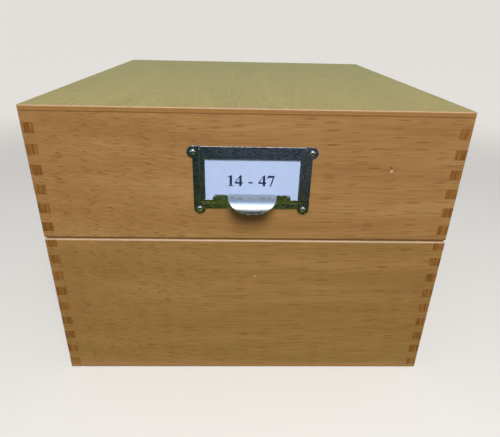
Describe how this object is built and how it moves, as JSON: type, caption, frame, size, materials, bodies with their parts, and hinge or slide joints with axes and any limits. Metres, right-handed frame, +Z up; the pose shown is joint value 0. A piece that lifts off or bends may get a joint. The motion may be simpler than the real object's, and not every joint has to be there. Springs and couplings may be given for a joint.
{
  "type": "index card box",
  "caption": "Finger-jointed beech index card box with a rear-hinged lid, a nickel label holder curled into a finger pull, and a sliding card support plate.",
  "frame": {"origin": "centre of the box's underside, at the level it stands on", "axes": "+Z up, the front with the label holder faces -Y, +X to the right seen from the front"},
  "size_m": [0.232, 0.2702, 0.1725],
  "materials": {
    "beech": "planed beech under satin lacquer",
    "beech_panel": "beech veneer on thin ply under satin lacquer",
    "nickel": "bright nickel plating on stamped sheet",
    "hinge_steel": "nickel-plated hinge strip",
    "screw_steel": "bright zinc",
    "sheet_steel": "galvanised sheet",
    "shoe_plastic": "black polyamide",
    "card": "matt white card"
  },
  "bodies": {
    "case": {"case_front": "beech", "case_back": "beech", "case_left": "beech", "case_right": "beech", "base_panel": "beech_panel", "case_hinge_screws": "screw_steel", "left_hinge_case_leaf": "hinge_steel", "right_hinge_case_leaf": "hinge_steel", "left_hinge_pin": "screw_steel", "right_hinge_pin": "screw_steel", "follower_rail": "sheet_steel", "rail_rivets": "screw_steel"},
    "lid": {"lid_front": "beech", "lid_back": "beech", "lid_left": "beech", "lid_right": "beech", "lid_panel": "beech_panel", "lid_hinge_screws": "screw_steel", "left_hinge_lid_leaf": "hinge_steel", "right_hinge_lid_leaf": "hinge_steel", "label_holder": "nickel", "label_nails": "nickel"},
    "label_card": {"label_card": "card"},
    "follower": {"follower_plate": "sheet_steel", "follower_shoe": "shoe_plastic", "follower_rivets": "screw_steel"}
  },
  "joints": [
    {"name": "lid_hinge", "type": "hinge", "parent": "case", "child": "lid", "pos_m": [0, 0.12715, 0.09765], "axis": [-1, 0, 0], "range_deg": [0, 100]},
    {"name": "support_plate_slide", "type": "slide", "parent": "case", "child": "follower", "axis": [0, 1, 0], "range_m": [-0.1534, 0.0389]},
    {"name": "label_card_slide", "type": "slide", "parent": "lid", "child": "label_card", "axis": [0, 0, 1], "range_m": [0, 0.034]}
  ]
}
